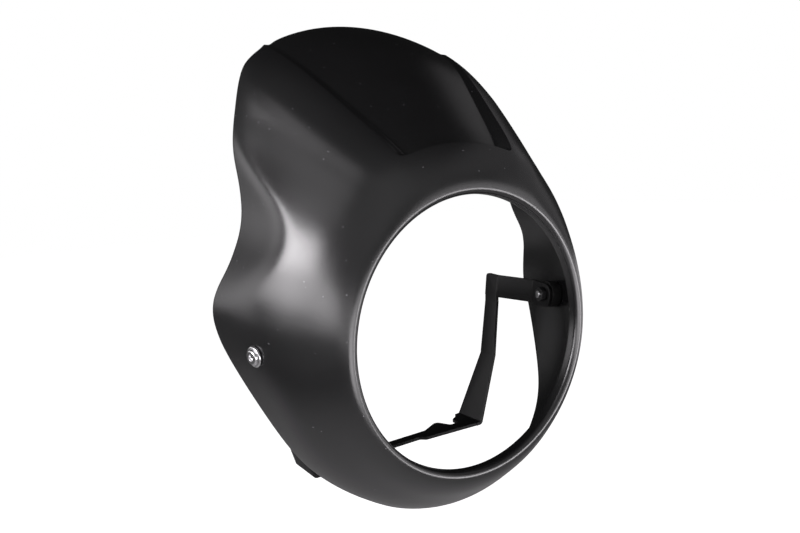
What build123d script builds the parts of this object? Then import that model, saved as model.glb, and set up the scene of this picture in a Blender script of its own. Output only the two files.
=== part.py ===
from build123d import *
import os
from math import atan2, cos, degrees, hypot, pi, radians, sin

import numpy as np

# Headlight cowl for a motorbike: a moulded shell around a round lamp, with a bent strap bracket inside.
# Millimetres and degrees. The origin is the centre of the lamp seat, +X is to the right when the cowl
# is seen from the front, +Y runs rearward along the lamp's axis and +Z is up.

# Lamp opening and shell wall
opening_radius = 90
seat_length = 4.5
lip_radius = 4
wall = 3

# Sections of the shell from the lip backwards: outward rise beyond the lip's crest, setback behind it
crown_section = [(0, 0), (16, 4.6), (32, 14.2), (52, 33.9), (77.5, 62.7), (104, 95.2), (120, 121.5),
                 (130, 142)]
flank_section = [(0, 0), (3.6, 1.8), (15.5, 15.5), (27.5, 33), (37, 56), (43.5, 90), (49, 142)]
chin_section = [(0, 0), (6, 2), (17.5, 13), (31, 31), (36.5, 52), (40, 90), (41, 142)]

# How much of the crown's and the chin's section shows at an angle, 0 at the side and 90 at the top
crown_share_keys = [(-90, 0), (0, 0), (10, 0.07), (25, 0.27), (40, 0.49), (48, 0.6), (54, 0.74), (60, 0.92),
                    (68.5, 1), (90, 1)]
chin_share_keys = [(-90, 1), (-70, 0.85), (-45, 0.3), (-20, 0), (0, 0), (90, 0)]

# Side walls that pinch the shell behind the lamp: rise beyond the crest at an angle, lean, ridge rounding
side_rise_keys = [(-90, 45), (-63, 43.5), (-40, 42.5), (-24, 38.5), (0, 43), (9, 48), (24, 46.8), (39, 56.2),
                  (48.5, 80), (62, 114), (72, 154), (90, 188)]
side_lean = 0.12
side_datum = 98
ridge_softness = 7

# Rear edge in side view: setback behind the crest, height above the lamp's axis, rounding of that corner
rear_corners = [(127.5, 203.5, 25), (122, 197.8, 10), (116.3, 170, 60), (97, 108, 60), (93.5, 53, 30),
                (108.5, 16.5, 40), (37, -107, 20)]
rear_top = (144.5, 240)
rear_bottom = (34, -160)

# Sunk panel on the crown
panel_angle = 68.5
panel_front_rise = 29.6
panel_front_depth = 6.5
panel_rear_depth = 0.3
panel_front_slope = 8
panel_rear_slope = 3.1

# Side bolts, through the shell, a spacer and the bracket
bolt_setback = 57
bolt_height = 1
bolt_diameter = 6
hole_clearance = 0.3
head_diameter = 10
head_height = 1.7
head_rounding = 1.3
socket_size = 4
socket_depth = 1.5
washer_diameter = 13.6
washer_thickness = 2
spacer_diameter = 21
spacer_length = 8
spacer_clearance = 0.85
nut_size = 10
nut_thickness = 4.5
bolt_overhang = 1.4

# Bracket of bent flat strap; spreads are half widths, reaches are measured back from its front edge
strap = 2.5
bend_radius = 5
arm_height = 19
arm_rise = -0.7
arm_tilt = 3.1
arm_corner = 3
tab_front = 9.5
tab_rear = 17
leg_spread = 107
leg_front = 105
leg_width = 14.2
leg_bend_height = -8
knee_spread = 97.5
knee_height = -53
knee_front = 101.3
knee_width = 17
foot_spread = 78.4
foot_height = -108
foot_front = 100
foot_width = 30
foot_bend_radius = 2.5
pad_spread = 63.5
pad_reach = 21
notch_reach = 12.5
bump_spread = 49
bump_reach = 26
bump_width = 18
strip_front = 8
strip_width = 8.5
strip_spread = 20
notch_rounding = 2.5
bump_rounding = 4
corner_radius = 1.5

# Closeness of the sheets and overlaps of the pieces that become one wall
sheet_tolerance = 0.05
slope_step = 0.001
place_closeness = 1e-9
angle_step = 2
place_step = 0.025
across_step = 0.04
lip_step = 0.15
lip_overlap = 0.35
past_edge = 1.05
over_middle = 96

# Values that follow from the sizes above
crest_radius = opening_radius + lip_radius
crest_y = -(seat_length / 2 + lip_radius + lip_step)
hole_radius = bolt_diameter / 2 + hole_clearance
spacer_outer = -(wall + spacer_clearance)
tab_outer = spacer_outer - spacer_length
nut_outer = tab_outer - strap
nut_inner = nut_outer - nut_thickness
bolt_end = nut_inner - bolt_overhang


def smooth_curve(knots, values, start_slope=None):
    """Cubic curve through values at knots, with an even bend and straight ends."""
    knots = np.array(knots, float)
    values = np.array(values, float)
    gaps = np.diff(knots)
    rises = np.diff(values) / gaps
    count = len(knots)
    system = np.eye(count)
    target = np.zeros(count)
    for i in range(1, count - 1):
        system[i, i - 1:i + 2] = gaps[i - 1], 2 * (gaps[i - 1] + gaps[i]), gaps[i]
        target[i] = 6 * (rises[i] - rises[i - 1])
    if start_slope is not None:
        system[0, :2] = 2 * gaps[0], gaps[0]
        target[0] = 6 * (rises[0] - start_slope)
    bends = np.linalg.solve(system, target)

    def value(x):
        i = min(max(int(np.searchsorted(knots, x)) - 1, 0), count - 2)
        a = (knots[i + 1] - x) / gaps[i]
        b = 1 - a
        curve = (a**3 - a) * bends[i] + (b**3 - b) * bends[i + 1]
        return a * values[i] + b * values[i + 1] + curve * gaps[i]**2 / 6

    return value


def eased_curve(keys):
    """Curve through keys that never swings past them, level at both ends."""
    knots = [key[0] for key in keys]
    values = [key[1] for key in keys]
    gaps = np.diff(knots)
    rises = np.diff(values) / gaps
    slopes = [0.0] * len(keys)
    for i in range(1, len(keys) - 1):
        if rises[i - 1] * rises[i] > 0:
            near = 2 * gaps[i] + gaps[i - 1]
            far = gaps[i] + 2 * gaps[i - 1]
            slopes[i] = (near + far) / (near / rises[i - 1] + far / rises[i])

    def value(x):
        i = min(max(int(np.searchsorted(knots, x)) - 1, 0), len(keys) - 2)
        t = (x - knots[i]) / gaps[i]
        ends = values[i] + (values[i + 1] - values[i]) * t * t * (3 - 2 * t)
        lean = slopes[i] * t * (1 - t)**2 - slopes[i + 1] * t * t * (1 - t)
        return ends + lean * gaps[i]

    return value


def section_curve(points):
    """Section of the shell as a function of 0 at the crest to 1 at its end, leaving the crest radially."""
    steps = [hypot(b[0] - a[0], b[1] - a[1]) for a, b in zip(points, points[1:])]
    length = sum(steps)
    knots = [sum(steps[:i]) / length for i in range(len(points))]
    rise = smooth_curve(knots, [point[0] for point in points], length)
    setback = smooth_curve(knots, [point[1] for point in points], 0)

    def value(u):
        return np.array([rise(u), setback(u)])

    return value


crown = section_curve(crown_section)
flank = section_curve(flank_section)
chin = section_curve(chin_section)
crown_share = eased_curve(crown_share_keys)
chin_share = eased_curve(chin_share_keys)
side_rise = smooth_curve([key[0] for key in side_rise_keys], [key[1] for key in side_rise_keys])


def soft_min(a, b, softness):
    """Lesser of two values, rounded over where they cross."""
    overlap = max(softness - abs(a - b), 0) / softness
    return min(a, b) - overlap**3 * softness / 6


def shell_section(angle, s):
    """Radius from the lamp's axis and setback behind the crest; s is -1 to 0 round the lip
    and 0 to 1 back along the skin."""
    if s < 0:
        return crest_radius + lip_radius * sin(s * pi / 2), lip_radius - lip_radius * cos(s * pi / 2)
    at = angle
    if angle > 90:
        at = 180 - angle
    if angle < -90:
        at = -180 - angle
    side = (1 - chin_share(at)) * flank(s) + chin_share(at) * chin(s)
    rise, setback = crown_share(at) * crown(s) + (1 - crown_share(at)) * side
    pinch = side_rise(at) - side_lean * (side_datum - setback)
    return crest_radius + soft_min(rise, pinch, ridge_softness), setback


def skin(angle, s):
    """Point on the shell's outer skin."""
    radius, setback = shell_section(angle, s)
    return Vector(radius * cos(radians(angle)), crest_y + setback, radius * sin(radians(angle)))


def outward(angle, s):
    """Direction that leaves the skin squarely."""
    along = skin(angle, s + slope_step) - skin(angle, s - slope_step)
    around = skin(angle + slope_step, s) - skin(angle - slope_step, s)
    return along.cross(around).normalized()


def under_skin(angle, s, inset):
    """Point under the skin, measured squarely inwards."""
    return skin(angle, s) - outward(angle, s) * inset


def slab(upper, lower):
    """Solid between two sheets of points that have the same rows and columns."""
    top = Face.make_surface_from_array_of_points(upper, tol=sheet_tolerance, min_deg=3)
    bottom = Face.make_surface_from_array_of_points(lower, tol=sheet_tolerance, min_deg=3)
    rims = []
    for edge in top.edges():
        partner = bottom.edges().sort_by_distance(edge.center())[0]
        rims.append(Face.make_surface_from_curves(edge, partner))
    return Solid(Shell([top, bottom, *rims]))


def spread(start, end, step):
    """Evenly spaced values about a step apart, both ends included."""
    count = round((end - start) / step)
    return [start + (end - start) * i / count for i in range(count + 1)]


def place_where(value, target):
    """Place between 0 and 1 where a growing value reaches a target."""
    low, high = 0.0, 1.0
    while high - low > place_closeness:
        middle = (low + high) / 2
        if value(middle) < target:
            low = middle
        else:
            high = middle
    return low


def shell_wall():
    """Right half of the plain wall, from the lip to past the rear edge and a little over the middle."""
    angles = spread(-over_middle, over_middle, angle_step)
    stations = spread(-lip_overlap, past_edge, place_step)
    upper = [[skin(angle, s) for s in stations] for angle in angles]
    lower = [[under_skin(angle, s, wall) for s in stations] for angle in angles]
    return slab(upper, lower)


def lip_ring():
    """Rounded lip and the cylindrical seat behind it, a hair under the wall's own lip."""
    depth = lip_step + lip_radius
    thickness = wall - 2 * lip_step
    end = depth + seat_length
    outer = RadiusArc((crest_radius, lip_step), (opening_radius, depth), lip_radius)
    inner = RadiusArc((crest_radius, lip_step + thickness), (opening_radius + thickness, depth),
                      lip_radius - thickness)
    straight = [
        Line(outer @ 1, (opening_radius, end)),
        Line((opening_radius, end), (opening_radius + thickness, end)),
        Line((opening_radius + thickness, end), inner @ 1),
        Line(inner @ 0, outer @ 0),
    ]
    section = make_face([outer, inner, *straight])
    return Pos(0, crest_y, 0) * revolve(section, Axis.Y)


def panel_layer(top, bottom, margin):
    """Layer under the sunk panel's outline; top and bottom are a share of the panel's depth, which its
    sloped sides follow, and a thickness below that; margin widens the outline."""
    start = place_where(lambda s: crown(s)[0], panel_front_rise)
    crown_length = sum(hypot(b[0] - a[0], b[1] - a[1]) for a, b in zip(crown_section, crown_section[1:]))
    front = start - margin / crown_length

    def sheet(share, thickness):
        rows = []
        for across in spread(0, 1, across_step):
            row = []
            for along in spread(0, 1, place_step):
                depth = panel_front_depth + (panel_rear_depth - panel_front_depth) * along
                slope = panel_front_slope + (panel_rear_slope - panel_front_slope) * along
                s = front + (past_edge - front) * along
                radius = crest_radius + crown(s)[0]
                angle = panel_angle + degrees((slope * share - margin) / radius)
                row.append(under_skin(angle + (over_middle - angle) * across, s, share * depth + thickness))
            rows.append(row)
        return rows

    return slab(sheet(*top), sheet(*bottom))


def right_bolt_frame():
    """Frame on the skin at the right bolt, its Z along the bolt and outwards."""
    s = place_where(lambda place: shell_section(0, place)[1], bolt_setback)
    angle = degrees(atan2(bolt_height, shell_section(0, s)[0]))
    return Plane(origin=skin(angle, s), x_dir=(0, 0, 1), z_dir=outward(angle, s))


bolt_frame = right_bolt_frame()
arm_frame = Plane(bolt_frame.location * Rotation(0, 0, arm_tilt))


def on_bolt(shape, level):
    """Shape placed on the right bolt's axis, at a level outside the skin."""
    return bolt_frame * Pos(0, 0, level) * shape


def rod(diameter, low, high):
    """Round bar on the right bolt's axis between two levels."""
    bar = Cylinder(diameter / 2, high - low, align=(Align.CENTER, Align.CENTER, Align.MIN))
    return on_bolt(bar, low)


def rear_cutter():
    """Everything behind the rear edge, for the right half."""
    corners = [rear_top] + [corner[:2] for corner in rear_corners] + [rear_bottom]
    places = [(crest_y + setback, height) for setback, height in corners]
    far = crest_y + 2 * rear_top[0]
    edge = FilletPolyline(*places, radius=[corner[2] for corner in rear_corners])
    back = Polyline(places[-1], (far, places[-1][1]), (far, places[0][1]), places[0])
    outline = Plane.YZ * make_face([edge, back])
    return extrude(outline, amount=4 * opening_radius, both=True)


def make_shell():
    """Moulded shell: wall, sunk panel, rear edge, lamp bore and bolt holes."""
    pan = panel_layer((0, wall / 2), (1, wall), wall)
    sink = panel_layer((-1, 0), (1, 0), 0)
    half = shell_wall() + pan - sink
    half -= rear_cutter()
    half -= rod(2 * hole_radius, nut_outer, washer_thickness)
    reach = 4 * opening_radius
    half -= Box(reach, 4 * reach, 4 * reach, align=(Align.MAX, Align.CENTER, Align.CENTER))
    return half + mirror(half, Plane.YZ) + lip_ring()


def make_bolt():
    """Button head bolt with a hexagon socket."""
    seat = washer_thickness
    head = Cylinder(head_diameter / 2, head_height, align=(Align.CENTER, Align.CENTER, Align.MIN))
    head = fillet(head.edges().sort_by(Axis.Z)[-1], head_rounding)
    hexagon = RegularPolygon(socket_size / 2, 6, major_radius=False)
    head -= Pos(0, 0, head_height - socket_depth) * extrude(hexagon, head_height)
    return on_bolt(head, seat) + rod(bolt_diameter, bolt_end, seat)


def make_washer():
    """Flat washer under the bolt's head."""
    hole = rod(2 * hole_radius, -washer_thickness, 2 * washer_thickness)
    return rod(washer_diameter, 0, washer_thickness) - hole


def make_spacer():
    """Thick sleeve between the shell and the bracket."""
    return rod(spacer_diameter, tab_outer, spacer_outer) - rod(2 * hole_radius, nut_outer, 0)


def make_nut():
    """Hexagon nut behind the bracket's tab."""
    hexagon = RegularPolygon(nut_size / 2, 6, major_radius=False)
    block = on_bolt(extrude(hexagon, nut_thickness), nut_inner)
    return block - rod(bolt_diameter, bolt_end, tab_outer)


def strap_corners(arm):
    """Edges across the strap's thickness, from the front to the rear."""
    return arm.edges().filter_by(lambda edge: abs(edge.length - strap) < strap / 100).sort_by(Axis.Y)


def make_arm():
    """Upper strap of the right side: tab square to the bolt, then back and up to the leg."""
    tab_middle = bolt_frame.origin + bolt_frame.z_dir * (tab_outer - strap / 2)
    low_edge = tab_middle + arm_frame.x_dir * (arm_rise - arm_height / 2)
    plan = Plane(origin=low_edge, x_dir=arm_frame.y_dir, z_dir=arm_frame.x_dir)
    leg_ends = [Vector(leg_spread, crest_y + leg_front + reach, bolt_height) for reach in (0, leg_width)]
    leg_places = [plan.to_local_coords(end) for end in leg_ends]
    route = FilletPolyline(
        (tab_front, 0),
        (-tab_rear, 0),
        *[(place.X, place.Y) for place in leg_places],
        radius=bend_radius,
    )
    arm = plan * extrude(trace(route, strap), arm_height)
    arm -= rod(2 * hole_radius, nut_inner, spacer_outer)
    arm = fillet(strap_corners(arm)[-2:].sort_by(Axis.Z)[-1], arm_corner)
    return fillet(strap_corners(arm)[:2], arm_height / 2 - corner_radius)


def base_outline():
    """Base in plan: a narrow strip between two pads, each with a notch and a bump beside it."""
    strip_rear = strip_front + strip_width
    edge_spread = foot_spread + strap
    right = [
        (strip_spread, strip_front, notch_rounding),
        (strip_spread + strip_front / 2, strip_front / 2, notch_rounding),
        (edge_spread, 0, corner_radius),
        (edge_spread, foot_width, corner_radius),
        (foot_spread, foot_width, corner_radius),
        (pad_spread, pad_reach, corner_radius),
        (pad_spread, notch_reach, notch_rounding),
        (bump_spread + bump_width / 3, notch_reach, notch_rounding),
        (bump_spread, bump_reach, bump_rounding),
        (bump_spread - bump_width, strip_rear, bump_rounding),
    ]
    corners = right + [(-x, y, rounding) for x, y, rounding in reversed(right)]
    places = [(x, y) for x, y, rounding in corners]
    return make_face(FilletPolyline(*places, radius=[corner[2] for corner in corners], close=True))


def make_bracket():
    """Bracket: two arms, two legs and a base, one bent strap."""
    lean = arm_frame.x_dir.X / arm_frame.x_dir.Z
    right_route = [
        (leg_spread, bolt_height),
        (leg_spread + lean * (leg_bend_height - bolt_height), leg_bend_height),
        (knee_spread, knee_height),
        (foot_spread, foot_height),
    ]
    left_route = [(-x, z) for x, z in reversed(right_route)]
    bends = [bend_radius, bend_radius, foot_bend_radius]
    route = FilletPolyline(*right_route, *left_route, radius=bends + bends[::-1])
    front = crest_y + foot_front
    rear = front + foot_width
    low = foot_height - strap
    sheet = extrude(Plane.XZ * trace(route, strap), -2 * rear)
    side_view = Plane.YZ * make_face(Polyline(
        (crest_y + leg_front, bolt_height), (crest_y + leg_front + leg_width, bolt_height),
        (crest_y + knee_front + knee_width, knee_height), (rear, foot_height), (rear, low),
        (front, low), (crest_y + knee_front, knee_height), close=True,
    ))
    leg_keep = Pos(foot_spread - bend_radius, 0, 0) * extrude(side_view, leg_spread)
    base_keep = Pos(0, front, low) * extrude(base_outline(), 2 * strap)
    bracket = sheet & (leg_keep + mirror(leg_keep, Plane.YZ) + base_keep)
    arm = make_arm()
    return bracket + arm + mirror(arm, Plane.YZ)


def both_sides(name, shape):
    """Right piece and its mirror image, by name."""
    return {f"right_{name}": shape, f"left_{name}": mirror(shape, Plane.YZ)}


nodes = {"cowl_shell": make_shell(), "mounting_bracket": make_bracket()}
nodes |= both_sides("bolt", make_bolt())
nodes |= both_sides("washer", make_washer())
nodes |= both_sides("spacer", make_spacer())
nodes |= both_sides("nut", make_nut())

os.makedirs("parts", exist_ok=True)
for name, shape in nodes.items():
    export_step(shape, f"parts/{name}.step")
    print(name, len(shape.solids()), round(shape.volume), shape.is_valid)
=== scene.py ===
# %% [markdown]
# # A motorbike headlight cowl
#
# The real object is a moulded black shell that wraps a round headlight. Inside it hangs a bent strap of
# sheet steel, held by one stainless bolt in each side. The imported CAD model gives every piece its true
# size and place, so it is loaded first and never moved. This lesson adds the fine surfaces and the
# finishes around it. Lengths from the drawing are in millimetres, and Blender's own unit is the metre.

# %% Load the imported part
from math import cos, radians, sin, tan

import bmesh
import bpy
import numpy as np
from mathutils import Matrix, Vector


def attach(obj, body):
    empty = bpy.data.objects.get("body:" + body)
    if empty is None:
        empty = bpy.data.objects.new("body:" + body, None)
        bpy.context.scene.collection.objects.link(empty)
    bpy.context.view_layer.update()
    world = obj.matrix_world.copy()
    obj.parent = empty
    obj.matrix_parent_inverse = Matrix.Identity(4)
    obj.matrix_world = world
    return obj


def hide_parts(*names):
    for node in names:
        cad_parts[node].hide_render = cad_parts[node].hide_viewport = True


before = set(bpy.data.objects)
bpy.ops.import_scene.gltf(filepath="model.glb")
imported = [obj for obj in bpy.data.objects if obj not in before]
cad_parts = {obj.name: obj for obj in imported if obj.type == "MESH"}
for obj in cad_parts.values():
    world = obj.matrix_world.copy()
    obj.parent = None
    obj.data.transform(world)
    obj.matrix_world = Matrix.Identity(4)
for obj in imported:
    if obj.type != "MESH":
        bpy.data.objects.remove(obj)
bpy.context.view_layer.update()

MILLIMETRE = 0.001
print("pieces:", sorted(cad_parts))

# %% [markdown]
# ## The camera
#
# A camera can be placed by eye, but a photograph fixes it better. The outline of the round opening and
# the places of both bolts gave the camera's spot, its three axes and its lens. Writing the axes as the
# columns of a matrix sets the view exactly, with no shift and no tilt left over.

# %% Camera
VIEW_SPOT = Vector((-271.7, -335.0, 103.8)) * MILLIMETRE
VIEW_RIGHT = Vector((0.8329, -0.5498, -0.0629))
VIEW_UP = Vector((0.1249, 0.0761, 0.9892))
VIEW_LENS = 30.31
NEAR_CLIP = 0.01

camera_data = bpy.data.cameras.new("camera")
camera_data.lens = VIEW_LENS
camera_data.clip_start = NEAR_CLIP
camera = bpy.data.objects.new("camera", camera_data)
view_back = VIEW_RIGHT.cross(VIEW_UP)
camera.matrix_world = Matrix.Translation(VIEW_SPOT) @ Matrix(
    (VIEW_RIGHT, VIEW_UP, view_back)).transposed().to_4x4()
bpy.context.scene.collection.objects.link(camera)
bpy.context.scene.camera = camera
bpy.context.scene.view_settings.view_transform = "Standard"
print("camera", [round(x, 3) for x in VIEW_SPOT], "lens", VIEW_LENS)

# %% [markdown]
# ## Shader maths as Python
#
# A material is a graph of nodes, and a graph is slow to write one link at a time. Here a small class
# wraps a socket, so that sums on sockets read like sums on numbers, and each operator adds its Math
# node. One method makes every other kind of node: its settings first, then its sockets.

# %% Wrapped sockets
class Field:
    """A socket's value over a surface. Each operator adds a Math node."""

    def __init__(self, finish, socket):
        self.finish = finish
        self.socket = socket

    def math(self, operation, first, second):
        return self.finish.node("ShaderNodeMath", {"operation": operation}, {0: first, 1: second})

    def __add__(self, other):
        return self.math("ADD", self, other)

    def __sub__(self, other):
        return self.math("SUBTRACT", self, other)

    def __rsub__(self, other):
        return self.math("SUBTRACT", other, self)

    def __mul__(self, other):
        return self.math("MULTIPLY", self, other)

    def __gt__(self, other):
        return self.math("GREATER_THAN", self, other)

    def __lt__(self, other):
        return self.math("LESS_THAN", self, other)

    __radd__ = __add__
    __rmul__ = __mul__


print("sockets can be added, subtracted, multiplied and compared")

# %% Nodes of one finish
class Finish:
    """The nodes of one material or of the world."""

    def __init__(self, owner):
        owner.use_nodes = True
        self.owner = owner
        self.tree = owner.node_tree
        self.tree.nodes.clear()

    def node(self, kind, settings=None, sockets=None, out=0):
        made = self.tree.nodes.new(kind)
        for name, value in (settings or {}).items():
            if name == "stops":
                ramp = made.color_ramp.elements
                while len(ramp) < len(value):
                    ramp.new(0.5)
                for element, (place, shade) in zip(ramp, value):
                    element.position = place
                    element.color = (shade, shade, shade, 1)
            else:
                setattr(made, name, value)
        for name, value in (sockets or {}).items():
            if isinstance(value, Field):
                self.tree.links.new(value.socket, made.inputs[name])
            else:
                made.inputs[name].default_value = value
        return Field(self, made.outputs[out]) if made.outputs else None


def new_material(name):
    return Finish(bpy.data.materials.new(name))


def surface(finish, shader):
    """Ends a material with its shader."""
    finish.node("ShaderNodeOutputMaterial", {}, {"Surface": shader})
    return finish.owner


print("finishes can be made from nodes")

# %% [markdown]
# ## Studio
#
# The part hangs against plain white. One bright dome would light it simply, but in dark paint a dome
# shows as an even grey, so separate panels draw the sheens. Two strong soft boxes stand on the left and
# make the broad pale sheen on the flank. Smaller or weaker panels stand behind and above those two and
# run round the front to the right side. Nothing hangs overhead, so the crown stays dark. The floor is a
# real pale surface, lifted to white by a glow that only the camera sees. The white of the sky is for the
# camera alone too: the paint mirrors a dim room, because white reflections would turn the crown grey.

# %% Floor and backdrop
WHITE = (1, 1, 1, 1)
FLOOR_DROP = 0.42
FLOOR_SIZE = 14.0
FLOOR_COLOUR = (0.82, 0.82, 0.82, 1)
FLOOR_LIFT = 0.96

bpy.ops.mesh.primitive_plane_add(size=FLOOR_SIZE, location=(0, 0, -FLOOR_DROP))
floor = bpy.context.object
floor.name = "floor"
floor_finish = new_material("pale_floor")
seen = floor_finish.node("ShaderNodeLightPath", out="Is Camera Ray")
floor_paint = floor_finish.node("ShaderNodeBsdfDiffuse", {}, {"Color": FLOOR_COLOUR})
floor_white = floor_finish.node("ShaderNodeEmission", {}, {"Color": WHITE, "Strength": seen * FLOOR_LIFT})
floor.data.materials.append(surface(
    floor_finish, floor_finish.node("ShaderNodeAddShader", {}, {0: floor_paint, 1: floor_white})))
print("floor", FLOOR_DROP, "m below the lamp's axis")

# %% Sky
SKY_LEAN = (-0.65, -0.55, -0.52)
SKY_STOPS = [(0.0, 0.01), (0.2, 0.03), (0.5, 0.18), (1.0, 0.14)]

world = bpy.data.worlds.new("studio")
bpy.context.scene.world = world
sky = Finish(world)
seen = sky.node("ShaderNodeLightPath", out="Is Camera Ray")
toward = sky.node("ShaderNodeTexCoord", out="Generated")
leaning = sky.node("ShaderNodeVectorMath", {"operation": "DOT_PRODUCT"}, {0: toward, 1: SKY_LEAN},
                   out="Value")
glow = sky.node("ShaderNodeValToRGB", {"stops": SKY_STOPS}, {"Fac": leaning * 0.5 + 0.5})
room = sky.node("ShaderNodeBackground", {}, {"Color": glow, "Strength": 1.0})
white = sky.node("ShaderNodeBackground", {}, {"Color": WHITE, "Strength": 1.0})
mixed = sky.node("ShaderNodeMixShader", {}, {0: seen, 1: room, 2: white})
sky.node("ShaderNodeOutputWorld", {}, {"Surface": mixed})
print("sky nodes", len(sky.tree.nodes))

# %% Soft panels
AIM = Vector((0, 0.03, 0.03))
LAMP_TINT = (1, 0.97, 1)
GRID_BEAM = 42
OPEN_BEAM = 90


def soft_panel(name, bearing, climb, distance, wide, high, radiance, beam=GRID_BEAM):
    """Rectangular light seen wide and high degrees across from the part. Bearing 0 is straight ahead of the
    lamp and 90 on the part's right side. The beam is the half angle of a grid that keeps it off the floor."""
    toward = Vector((sin(radians(bearing)) * cos(radians(climb)),
                     -cos(radians(bearing)) * cos(radians(climb)), sin(radians(climb))))
    light = bpy.data.lights.new(name, "AREA")
    light.shape = "RECTANGLE"
    light.size = 2 * distance * tan(radians(wide / 2))
    light.size_y = 2 * distance * tan(radians(high / 2))
    light.color = LAMP_TINT
    light.energy = radiance * np.pi * light.size * light.size_y
    if beam < OPEN_BEAM:
        # Blender keeps the power when the spread narrows, so less energy keeps the same radiance ahead.
        light.spread = radians(2 * beam)
        light.energy *= 1 - radians(beam) / tan(radians(beam))
    lamp = bpy.data.objects.new(name, light)
    lamp.location = AIM + toward * distance
    lamp.rotation_euler = toward.to_track_quat("Z", "Y").to_euler()
    lamp.visible_camera = False
    bpy.context.scene.collection.objects.link(lamp)
    return lamp


soft_panel("left_box", bearing=-88, climb=26, distance=1.3, wide=36, high=16, radiance=11.5)
soft_panel("left_low_box", bearing=-88, climb=9, distance=1.3, wide=62, high=18, radiance=5.4)
soft_panel("left_rear_box", bearing=-132, climb=8, distance=1.3, wide=26, high=28, radiance=1.2)
soft_panel("left_high_box", bearing=-76, climb=49, distance=1.3, wide=34, high=16, radiance=0.75)
soft_panel("front_left_panel", bearing=-46, climb=2, distance=1.5, wide=30, high=24, radiance=1.1)
soft_panel("front_panel", bearing=-12, climb=-14, distance=0.7, wide=54, high=34, radiance=4.2)
soft_panel("front_right_panel", bearing=46, climb=2, distance=1.5, wide=40, high=24, radiance=1.0)
soft_panel("front_right_strip", bearing=32, climb=-13, distance=0.9, wide=28, high=16, radiance=7.0)
soft_panel("front_high_panel", bearing=-5, climb=40, distance=1.5, wide=80, high=28, radiance=0.2)
soft_panel("right_panel", bearing=80, climb=12, distance=1.5, wide=50, high=34, radiance=0.18,
           beam=OPEN_BEAM)
soft_panel("right_high_panel", bearing=66, climb=38, distance=1.5, wide=44, high=16, radiance=0.2)
soft_panel("right_low_panel", bearing=85, climb=-12, distance=0.9, wide=60, high=20, radiance=1.3)
soft_panel("right_rear_panel", bearing=106, climb=34, distance=1.5, wide=24, high=20, radiance=0.2)

# %% [markdown]
# ## The shell's form
#
# The shell could be carved from a block, but its drawing is simpler than that. Three sections run back
# from the lip: one over the crown, one along the flank and one under the chin. Round the lamp they blend
# into one another, and the side walls pinch the form behind the lamp. Writing that as a formula gives an
# even grid of points, and an even grid gives clean reflections on a dark satin surface.

# %% Smooth curves
def even_curve(knots, values, start_slope=None):
    """Cubic curve with an even bend through values at knots; it takes and gives whole arrays."""
    knots = np.array(knots, float)
    values = np.array(values, float)
    gaps = np.diff(knots)
    rises = np.diff(values) / gaps
    count = len(knots)
    system = np.eye(count)
    target = np.zeros(count)
    for i in range(1, count - 1):
        system[i, i - 1:i + 2] = gaps[i - 1], 2 * (gaps[i - 1] + gaps[i]), gaps[i]
        target[i] = 6 * (rises[i] - rises[i - 1])
    if start_slope is not None:
        system[0, :2] = 2 * gaps[0], gaps[0]
        target[0] = 6 * (rises[0] - start_slope)
    bends = np.linalg.solve(system, target)

    def value(x):
        i = np.clip(np.searchsorted(knots, x) - 1, 0, count - 2)
        a = (knots[i + 1] - x) / gaps[i]
        b = 1 - a
        curve = (a**3 - a) * bends[i] + (b**3 - b) * bends[i + 1]
        return a * values[i] + b * values[i + 1] + curve * gaps[i]**2 / 6

    return value


def eased_curve(keys):
    """Curve through keys that never swings past them."""
    knots = np.array([key[0] for key in keys], float)
    values = np.array([key[1] for key in keys], float)
    gaps = np.diff(knots)
    rises = np.diff(values) / gaps
    slopes = np.zeros(len(keys))
    for i in range(1, len(keys) - 1):
        if rises[i - 1] * rises[i] > 0:
            near = 2 * gaps[i] + gaps[i - 1]
            far = gaps[i] + 2 * gaps[i - 1]
            slopes[i] = (near + far) / (near / rises[i - 1] + far / rises[i])

    def value(x):
        i = np.clip(np.searchsorted(knots, x) - 1, 0, len(keys) - 2)
        t = (x - knots[i]) / gaps[i]
        ends = values[i] + (values[i + 1] - values[i]) * t * t * (3 - 2 * t)
        lean = slopes[i] * t * (1 - t)**2 - slopes[i + 1] * t * t * (1 - t)
        return ends + lean * gaps[i]

    return value


print("curves ready")

# %% Sections
OPENING_RADIUS = 90
LIP_RADIUS = 4
SEAT_LENGTH = 4.5
SEAT_WALL = 2.7
WALL = 3
CREST_RADIUS = OPENING_RADIUS + LIP_RADIUS
CREST_Y = -6.4
CROWN = [(0, 0), (16, 4.6), (32, 14.2), (52, 33.9), (77.5, 62.7), (104, 95.2), (120, 121.5), (130, 142)]
FLANK = [(0, 0), (3.6, 1.8), (15.5, 15.5), (27.5, 33), (37, 56), (43.5, 90), (49, 142)]
CHIN = [(0, 0), (6, 2), (17.5, 13), (31, 31), (36.5, 52), (40, 90), (41, 142)]
CROWN_SHARE = [(-90, 0), (0, 0), (10, 0.07), (25, 0.27), (40, 0.49), (48, 0.6), (54, 0.74), (60, 0.92),
               (68.5, 1), (90, 1)]
CHIN_SHARE = [(-90, 1), (-70, 0.85), (-45, 0.3), (-20, 0), (0, 0), (90, 0)]
SIDE_RISE = [(-90, 45), (-63, 43.5), (-40, 42.5), (-24, 38.5), (0, 43), (9, 48), (24, 46.8), (39, 56.2),
             (48.5, 80), (62, 114), (72, 154), (90, 188)]
SIDE_LEAN = 0.12
SIDE_DATUM = 98
RIDGE_SOFTNESS = 7


def section_steps(points):
    """Lengths of the straight runs between a section's points."""
    return [np.hypot(b[0] - a[0], b[1] - a[1]) for a, b in zip(points, points[1:])]


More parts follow.
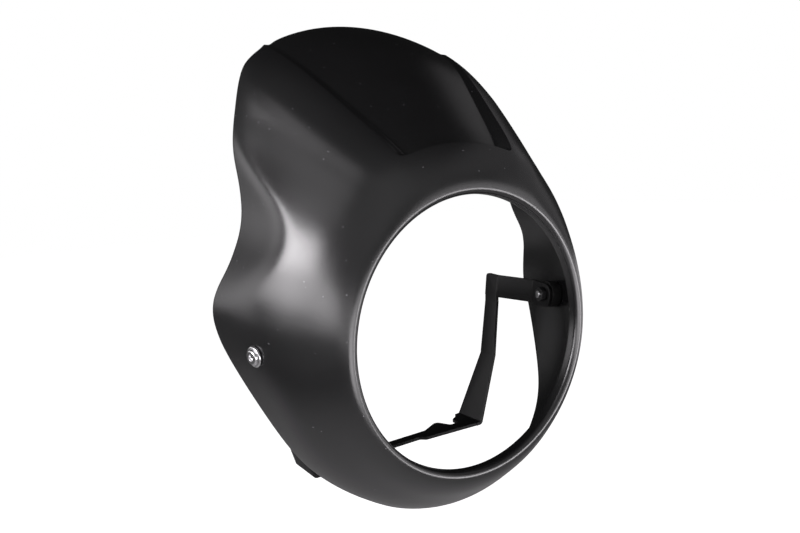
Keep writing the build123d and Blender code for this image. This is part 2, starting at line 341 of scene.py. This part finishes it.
def section_curves(points):
    """Rise and setback along a section, each a function of 0 at the crest to 1 at its end."""
    steps = section_steps(points)
    length = sum(steps)
    knots = [sum(steps[:i]) / length for i in range(len(points))]
    rise = even_curve(knots, [point[0] for point in points], length)
    setback = even_curve(knots, [point[1] for point in points], 0)
    return rise, setback


crown_rise, crown_setback = section_curves(CROWN)
flank_rise, flank_setback = section_curves(FLANK)
chin_rise, chin_setback = section_curves(CHIN)
crown_share = eased_curve(CROWN_SHARE)
chin_share = eased_curve(CHIN_SHARE)
side_rise = even_curve([key[0] for key in SIDE_RISE], [key[1] for key in SIDE_RISE])
CROWN_LENGTH = sum(section_steps(CROWN))
print("crown section", round(CROWN_LENGTH), "mm long")

# %% Outer skin
SLOPE_STEP = 0.001


def skin(angle, s):
    """Points of the outer skin for arrays of angles in degrees and places s. The crest is at 0, the lamp's
    seat at -1 and the end of the section at 1."""
    at = np.where(angle > 90, 180 - angle, np.where(angle < -90, -180 - angle, angle))
    back = np.maximum(s, 0)
    low = chin_share(at)
    high = crown_share(at)
    rise = (1 - low) * flank_rise(back) + low * chin_rise(back)
    setback = (1 - low) * flank_setback(back) + low * chin_setback(back)
    rise = high * crown_rise(back) + (1 - high) * rise
    setback = high * crown_setback(back) + (1 - high) * setback
    pinch = side_rise(at) - SIDE_LEAN * (SIDE_DATUM - setback)
    overlap = np.maximum(RIDGE_SOFTNESS - abs(rise - pinch), 0) / RIDGE_SOFTNESS
    rise = np.minimum(rise, pinch) - overlap**3 * RIDGE_SOFTNESS / 6
    turn = np.minimum(s, 0) * np.pi / 2
    radius = CREST_RADIUS + np.where(s < 0, LIP_RADIUS * np.sin(turn), rise)
    depth = np.where(s < 0, LIP_RADIUS - LIP_RADIUS * np.cos(turn), setback)
    return np.stack([radius * np.cos(np.radians(angle)), CREST_Y + depth,
                     radius * np.sin(np.radians(angle))], -1)


def outward(angle, s):
    """Unit directions that leave the skin squarely."""
    along = skin(angle, s + SLOPE_STEP) - skin(angle, s - SLOPE_STEP)
    around = skin(angle + SLOPE_STEP, s) - skin(angle - SLOPE_STEP, s)
    square = np.cross(along, around)
    return square / np.linalg.norm(square, axis=-1, keepdims=True)


print("flank point", skin(np.array(0.0), np.array(0.5)).round(1))

# %% [markdown]
# ## The sunk panel
#
# The crown carries a shallow panel that is moulded one step lower than the skin around it. A bump map
# could fake the step, but its outline shows against the sky, so it is real geometry. The grid's columns
# are bent to follow the rim and its rows crowd together at the front edge, and a soft ramp rounds both
# edges by about a millimetre, as a moulding has.

# %% Panel outline
PANEL_ANGLE = 68.5
PANEL_FRONT_RISE = 29.6
PANEL_CORNER = 5.0
PLACE_COUNT = 20001

places = np.linspace(0, 1, PLACE_COUNT)
PANEL_START = float(np.interp(PANEL_FRONT_RISE, crown_rise(places), places))


def panel_rim(s):
    """Angle of the panel's rim, which turns in at the front corner."""
    behind = np.clip((s - PANEL_START) * CROWN_LENGTH, 0, PANEL_CORNER)
    turn_in = PANEL_CORNER - np.sqrt(PANEL_CORNER**2 - (PANEL_CORNER - behind)**2)
    return PANEL_ANGLE + np.degrees(turn_in / (CREST_RADIUS + crown_rise(np.maximum(s, 0))))


print("panel starts at", round(PANEL_START, 4), "of the crown's section")

# %% Panel depth
PANEL_DEPTHS = (6.5, 0.3)
PANEL_SLOPES = (8.0, 3.1)
PANEL_END = 1.05
RIM_ROUNDING = 0.6
FOOT_ROUNDING = 1.8
FRONT_SLOPE = 1.3
FRONT_ROUNDING = 0.45


def along_panel(s, ends):
    """Value that changes evenly from the panel's front to its rear."""
    share = np.clip((s - PANEL_START) / (PANEL_END - PANEL_START), 0, 1)
    return ends[0] + (ends[1] - ends[0]) * share


def soft_corner(x, rounding):
    """Zero before 0 and x after it, with the corner rounded over."""
    near = np.clip(x + rounding, 0, 2 * rounding)
    return np.where(x > rounding, x, near * near / (4 * rounding))


def soft_ramp(x, width, first, second):
    """Ramp from 0 to 1 over a width, its two corners rounded over."""
    return (soft_corner(x, first) - soft_corner(x - width, second)) / width


def panel_inset(angle, s, margin=0.0):
    """How far the panel's surface lies under the skin; margin widens its outline."""
    radius = CREST_RADIUS + crown_rise(np.maximum(s, 0))
    across = np.radians(angle - panel_rim(s)) * radius + margin
    behind = (s - PANEL_START) * CROWN_LENGTH + margin
    side = soft_ramp(across, along_panel(s, PANEL_SLOPES), RIM_ROUNDING, FOOT_ROUNDING)
    front = soft_ramp(behind, FRONT_SLOPE, FRONT_ROUNDING, FRONT_ROUNDING)
    return along_panel(s, PANEL_DEPTHS) * side * front


print("panel is sunk", PANEL_DEPTHS[0], "mm at its front and", PANEL_DEPTHS[1], "mm at its rear")

# %% [markdown]
# ## The rear edge
#
# Seen from the side, the shell ends along a line that falls from the crown, turns in a waist and runs
# down to the chin. Each column of the grid is followed back until it crosses that line, so the edge is
# smooth without cutting any mesh.

# %% Rear outline
REAR_CORNERS = [(144.5, 240, 0), (127.5, 203.5, 25), (122, 197.8, 10), (116.3, 170, 60), (97, 108, 60),
                (93.5, 53, 30), (108.5, 16.5, 40), (37, -107, 20), (34, -160, 0)]


def rounded_outline(corners, steps=24):
    """Points along straight runs whose corners are rounded by their radius."""
    points = [np.array(corners[0][:2], float)]
    for before, corner, after in zip(corners, corners[1:], corners[2:]):
        tip = np.array(corner[:2], float)
        to_before = np.array(before[:2]) - tip
        to_after = np.array(after[:2]) - tip
        to_before = to_before / np.linalg.norm(to_before)
        to_after = to_after / np.linalg.norm(to_after)
        half = np.arccos(np.clip(to_before @ to_after, -1, 1)) / 2
        middle = to_before + to_after
        centre = tip + middle / np.linalg.norm(middle) * corner[2] / np.sin(half)
        start = tip + to_before * corner[2] / np.tan(half)
        end = tip + to_after * corner[2] / np.tan(half)
        for t in np.linspace(0, 1, steps):
            spoke = (1 - t) * (start - centre) + t * (end - centre)
            points.append(centre + spoke / np.linalg.norm(spoke) * corner[2])
    points.append(np.array(corners[-1][:2], float))
    return np.array(points)


rear_line = rounded_outline(REAR_CORNERS)[::-1]


def past_rear(points):
    """Distance behind the rear edge, negative in front of it."""
    return points[..., 1] - CREST_Y - np.interp(points[..., 2], rear_line[:, 1], rear_line[:, 0])


print("rear edge of", len(rear_line), "points")

# %% [markdown]
# ## The shell's mesh
#
# One closed loop of points goes round the wall: back along the outer skin, over the rear edge, forward
# along the inner skin, round the lamp's seat and over the lip. Sweeping that loop round the lamp gives a
# watertight mesh of quads. Only the right half is worked out; the left half is its mirror image.

# %% Columns
BLEND_ANGLE = 60.0
COLUMN_COUNTS = {"flank": 132, "shoulder": 9, "rim": 5, "slope": 5, "foot": 6, "floor": 17}
COLUMNS = sum(COLUMN_COUNTS.values())
column_group = np.repeat(np.arange(len(COLUMN_COUNTS)), list(COLUMN_COUNTS.values()))
column_share = np.concatenate([np.arange(1, count + 1) / count for count in COLUMN_COUNTS.values()])
column_share[:COLUMN_COUNTS["flank"]] = np.linspace(0, 1, COLUMN_COUNTS["flank"])


def column_angles(s):
    """Angle of every column at its own place s. Each lies between two of seven guides, four of which follow
    the rim and the foot of the panel's side."""
    degree = np.degrees(1 / (CREST_RADIUS + crown_rise(np.maximum(s, 0))))
    rim = panel_rim(s)
    foot = rim + along_panel(s, PANEL_SLOPES) * degree
    guides = np.stack([np.full(COLUMNS, -90.0), np.full(COLUMNS, BLEND_ANGLE),
                       rim - RIM_ROUNDING * degree, rim + RIM_ROUNDING * degree,
                       foot - FOOT_ROUNDING * degree, foot + FOOT_ROUNDING * degree, np.full(COLUMNS, 90.0)])
    column = np.arange(COLUMNS)
    before = guides[column_group, column]
    after = guides[column_group + 1, column]
    return before * (1 - column_share) + after * column_share


print("columns", COLUMN_COUNTS)

# %% Rear ends of the columns
REAR_SAMPLES = 160
HALVINGS = 30


def outer_points(s):
    """Points of the outer surface, one for each column at its own place s."""
    angle = column_angles(s)
    return skin(angle, s) - outward(angle, s) * panel_inset(angle, s)[:, None]


def inner_points(s):
    """Points of the inner surface, a wall's thickness below the outer one."""
    angle = column_angles(s)
    sunk = panel_inset(angle, s, WALL)
    return skin(angle, s) - outward(angle, s) * (sunk + WALL)[:, None]


def rear_places(points_at):
    """Place s where every column crosses the rear edge."""
    samples = np.linspace(PANEL_START, PANEL_END, REAR_SAMPLES)
    low = np.full(COLUMNS, samples[0])
    high = np.full(COLUMNS, samples[-1])
    found = np.zeros(COLUMNS, bool)
    for before, after in zip(samples, samples[1:]):
        behind = past_rear(points_at(np.full(COLUMNS, after))) > 0
        first = behind & ~found
        low[first] = before
        high[first] = after
        found |= behind
    for _ in range(HALVINGS):
        middle = (low + high) / 2
        behind = past_rear(points_at(middle)) > 0
        high = np.where(behind, middle, high)
        low = np.where(behind, low, middle)
    return low


outer_end = rear_places(outer_points)
inner_end = rear_places(inner_points)
print("rear places", outer_end.min().round(3), "to", outer_end.max().round(3))

# %% Rounded corners and rings
EDGE_ROUNDING = 0.8


def short_of(end, points_at):
    """Place a little before the end, where the edge's rounding starts."""
    pace = np.linalg.norm(points_at(end) - points_at(end - SLOPE_STEP), axis=1) / SLOPE_STEP
    return end - EDGE_ROUNDING / pace


def bend(start, corner, end, steps):
    """Points of a rounded corner, both ends left out."""
    shares = np.linspace(0, 1, steps + 2)[1:-1]
    return [(1 - t)**2 * start + 2 * t * (1 - t) * corner + t * t * end for t in shares]


def ring(radius, setback):
    """Points of a circle round the lamp's axis, one for each column."""
    angle = np.radians(column_angles(np.zeros(COLUMNS)))
    return np.stack([radius * np.cos(angle), np.full(COLUMNS, CREST_Y + setback), radius * np.sin(angle)], -1)


outer_stop = short_of(outer_end, outer_points)
inner_stop = short_of(inner_end, inner_points)
print("rounding starts at", outer_stop.min().round(3), "to", outer_stop.max().round(3))

# %% Outer surface, from the lip to the rear edge
LIP_ROWS = 10
BROW_ROWS = 15
CROWN_ROWS = 61
FRONT_ROWS = [-2.6, -1.6, -0.9, -0.55, -0.28, 0, 0.28, 0.55, 0.75, 1.02, 1.3, 1.58, 1.85, 2.3, 3, 3.8, 5]

every = np.ones(COLUMNS)
front_places = [PANEL_START + y / CROWN_LENGTH for y in FRONT_ROWS]
loop = [outer_points(s * every) for s in np.linspace(-1, 0, LIP_ROWS + 1)[:-1]]
loop += [outer_points(s * every) for s in np.linspace(0, front_places[0], BROW_ROWS + 1)[:-1]]
loop += [outer_points(s * every) for s in front_places]
for share in np.linspace(0, 1, CROWN_ROWS + 1)[1:]:
    loop.append(outer_points(front_places[-1] + (outer_stop - front_places[-1]) * share))
print("outer rows", len(loop))

# %% Rear edge and inner surface
EDGE_BEND = 3
INNER_ROWS = 46

outer_tip = outer_points(outer_end)
inner_tip = inner_points(inner_end)
across = inner_tip - outer_tip
across /= np.linalg.norm(across, axis=1, keepdims=True)
outer_rim = outer_tip + across * EDGE_ROUNDING
inner_rim = inner_tip - across * EDGE_ROUNDING
loop += bend(loop[-1], outer_tip, outer_rim, EDGE_BEND) + [outer_rim, inner_rim]
loop += bend(inner_rim, inner_tip, inner_points(inner_stop), EDGE_BEND)
loop += [inner_points(inner_stop * share) for share in np.linspace(1, 0, INNER_ROWS)]
print("rows with the inner surface", len(loop))

# %% Lamp seat
SEAT_ROUNDING = 0.6
SEAT_BEND = 2
SEAT_ROOT = 0.4
SEAT_MIDDLE = 2

seat_back = OPENING_RADIUS + SEAT_WALL
seat_end = LIP_RADIUS + SEAT_LENGTH
seat_stop = seat_end - SEAT_ROUNDING
loop += [ring(seat_back, LIP_RADIUS + SEAT_ROOT), ring(seat_back, seat_stop)]
loop += bend(loop[-1], ring(seat_back, seat_end), ring(seat_back - SEAT_ROUNDING, seat_end), SEAT_BEND)
loop += [ring(seat_back - SEAT_ROUNDING, seat_end), ring(OPENING_RADIUS + SEAT_ROUNDING, seat_end)]
loop += bend(loop[-1], ring(OPENING_RADIUS, seat_end), ring(OPENING_RADIUS, seat_stop), SEAT_BEND)
loop += [ring(OPENING_RADIUS, seat_stop), ring(OPENING_RADIUS, LIP_RADIUS + SEAT_MIDDLE)]
right_half = np.array(loop).transpose(1, 0, 2)
print("loop of", len(loop), "points, lowest", right_half[..., 2].min().round(1))

# %% Closed mesh
def mesh_from_grid(name, grid):
    """Mesh of quads from a grid that closes on itself both ways."""
    columns, rows = grid.shape[:2]
    index = np.arange(columns * rows).reshape(columns, rows)
    next_column = np.roll(index, -1, 0)
    faces = np.stack([index, np.roll(index, -1, 1), np.roll(next_column, -1, 1), next_column], -1)
    mesh = bpy.data.meshes.new(name)
    mesh.from_pydata((grid.reshape(-1, 3) * MILLIMETRE).tolist(), [], faces.reshape(-1, 4).tolist())
    mesh.polygons.foreach_set("use_smooth", np.ones(len(mesh.polygons), bool))
    mesh.update()
    return mesh


left_half = right_half[-2:0:-1] * np.array([-1, 1, 1])
shell_mesh = mesh_from_grid("shell_skin", np.concatenate([right_half, left_half]))
shell = bpy.data.objects.new("shell_skin", shell_mesh)
bpy.context.scene.collection.objects.link(shell)
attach(shell, "root")
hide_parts("cowl_shell")
print("shell", len(shell.data.vertices), "points", len(shell.data.polygons), "quads")

# %% [markdown]
# ## Satin black paint
#
# The shell is sprayed satin black. Up close the coat is not even: it has a faint orange-peel ripple, a
# slow drift in gloss, and a few pale specks of dust caught in the coat. A slow and a fine noise drive the
# shade and the gloss, two fine ones make the ripple, and a cell pattern that keeps only a few of its
# cells makes the specks. The index of refraction is set above a lacquer's, because with the panels at a
# plain level the black then mirrors them about as brightly as in the photograph.

# %% Noise and specks
SPECK_CELLS = 300.0
SPECK_SHARE = 0.07
SPECK_SIZE = 0.1

coat = new_material("satin_black_paint")
place = coat.node("ShaderNodeTexCoord", out="Object")
drift = coat.node("ShaderNodeTexNoise", {}, {"Vector": place, "Scale": 22.0, "Detail": 2.0})
grain = coat.node("ShaderNodeTexNoise", {}, {"Vector": place, "Scale": 1400.0, "Detail": 3.0})
peel = coat.node("ShaderNodeTexNoise", {}, {"Vector": place, "Scale": 420.0, "Detail": 1.0})
from_cell = coat.node("ShaderNodeTexVoronoi", {}, {"Vector": place, "Scale": SPECK_CELLS}, out="Distance")
cell_colour = coat.node("ShaderNodeTexVoronoi", {}, {"Vector": place, "Scale": SPECK_CELLS}, out="Color")
picked = coat.node("ShaderNodeSeparateColor", {}, {0: cell_colour}, out="Red") > 1 - SPECK_SHARE
speck = picked * (from_cell < SPECK_SIZE)
print("pattern nodes", len(coat.tree.nodes))

# %% Shell paint
COAT_TINT = (1, 0.985, 1.06)
COAT_SHADE = 0.003
COAT_SHADE_SWING = 0.003
SPECK_SHADE = 0.18
COAT_ROUGHNESS = 0.2
COAT_ROUGHNESS_SWING = 0.05
COAT_IOR = 1.8
COAT_RIPPLE = 0.1
COAT_RIPPLE_DEPTH = 0.0004
PEEL_SHARE = 0.12

shade = COAT_SHADE + (drift + grain) * COAT_SHADE_SWING + speck * SPECK_SHADE
colour = coat.node("ShaderNodeCombineColor", {}, {i: shade * part for i, part in enumerate(COAT_TINT)})
roughness = COAT_ROUGHNESS + (drift + grain) * COAT_ROUGHNESS_SWING
bumps = grain + peel * PEEL_SHARE
ripple = coat.node("ShaderNodeBump", {}, {
    "Strength": COAT_RIPPLE, "Distance": COAT_RIPPLE_DEPTH, "Height": bumps}, out="Normal")
paint = coat.node("ShaderNodeBsdfPrincipled", {}, {
    "Base Color": colour, "Roughness": roughness, "Normal": ripple, "IOR": COAT_IOR})
shell.data.materials.append(surface(coat, paint))
print("paint nodes", len(coat.tree.nodes))

# %% [markdown]
# ## Bracket and fixings
#
# The strap is bent sheet steel under a thin satin coat. Its CAD solid has the right shape, but its edges
# are knife sharp, and a sharp edge catches no light. So a copy of each small piece gets its sharp edges
# rounded by a fraction of a millimetre. The bolts and washers are polished stainless steel, the nuts
# blackened steel and the spacers plain rubber.

# %% Plain finishes
COLOUR_SWING = 0.3
ROUGHNESS_SWING = 0.12
RIPPLE_DEPTH = 0.0003


def grained(name, colour, roughness, metallic, shine, scale, ripple):
    """A finish whose shade, gloss and surface vary with a fine noise."""
    finish = new_material(name)
    place = finish.node("ShaderNodeTexCoord", out="Object")
    grain = finish.node("ShaderNodeTexNoise", {}, {"Vector": place, "Scale": scale, "Detail": 3.0})
    swing = grain - 0.5
    parts = {i: part * (1 + swing * COLOUR_SWING) for i, part in enumerate(colour)}
    tint = finish.node("ShaderNodeCombineColor", {}, parts)
    bump = finish.node("ShaderNodeBump", {}, {"Strength": ripple, "Distance": RIPPLE_DEPTH, "Height": grain},
                       out="Normal")
    shader = finish.node("ShaderNodeBsdfPrincipled", {}, {
        "Base Color": tint, "Roughness": roughness + swing * ROUGHNESS_SWING, "Metallic": metallic,
        "Specular IOR Level": shine, "Normal": bump})
    return surface(finish, shader)


finishes = {
    "mounting_bracket": grained("satin_black_strap", (0.006, 0.006, 0.0062), roughness=0.46, metallic=0.0,
                                shine=0.25, scale=900, ripple=0.08),
    "bolt": grained("polished_stainless", (0.74, 0.74, 0.75), roughness=0.2, metallic=1.0,
                    shine=0.5, scale=700, ripple=0.01),
    "washer": grained("stainless_washer", (0.7, 0.7, 0.71), roughness=0.24, metallic=1.0,
                      shine=0.5, scale=700, ripple=0.01),
    "nut": grained("blackened_steel", (0.02, 0.02, 0.021), roughness=0.4, metallic=0.0,
                   shine=0.4, scale=900, ripple=0.05),
    "spacer": grained("black_rubber", (0.014, 0.014, 0.014), roughness=0.6, metallic=0.0,
                      shine=0.2, scale=1200, ripple=0.1),
}
print("finishes", sorted(finishes))

# %% Softened edges
EDGE_WIDTHS = {"mounting_bracket": 0.35, "bolt": 0.2, "washer": 0.9, "nut": 0.3, "spacer": 0.5}
SLOTS = {"mounting_bracket": "bracket", "bolt": "bolts", "washer": "washers", "nut": "nuts",
         "spacer": "spacers"}
MERGE_DISTANCE = 0.002 * MILLIMETRE
FLAT_ANGLE = radians(1)
SHARP_ANGLE = radians(35)


def softened(name, width, finish):
    """Copy of a CAD piece whose sharp edges are rounded by a width."""
    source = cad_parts[name]
    work = bmesh.new()
    work.from_mesh(source.data)
    work.transform(source.matrix_world)
    bmesh.ops.remove_doubles(work, verts=work.verts, dist=MERGE_DISTANCE)
    bmesh.ops.dissolve_limit(work, angle_limit=FLAT_ANGLE, verts=work.verts, edges=work.edges)
    sharp = [edge for edge in work.edges if edge.calc_face_angle(0) > SHARP_ANGLE]
    bmesh.ops.bevel(work, geom=sharp, offset=width * MILLIMETRE, segments=2, profile=0.5, affect="EDGES",
                    clamp_overlap=True)
    mesh = bpy.data.meshes.new(name + "_soft")
    work.to_mesh(mesh)
    work.free()
    mesh.polygons.foreach_set("use_smooth", np.ones(len(mesh.polygons), bool))
    mesh.set_sharp_from_angle(angle=SHARP_ANGLE)
    mesh.materials.clear()
    mesh.materials.append(finish)
    piece = bpy.data.objects.new(name + "_soft", mesh)
    bpy.context.scene.collection.objects.link(piece)
    return piece


for name in sorted(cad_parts):
    if name != "cowl_shell":
        kind = name if name in SLOTS else name.split("_")[-1]
        piece = softened(name, EDGE_WIDTHS[kind], finishes[kind])
        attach(piece, "root")
        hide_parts(name)
        print(piece.name, len(piece.data.polygons), "faces")
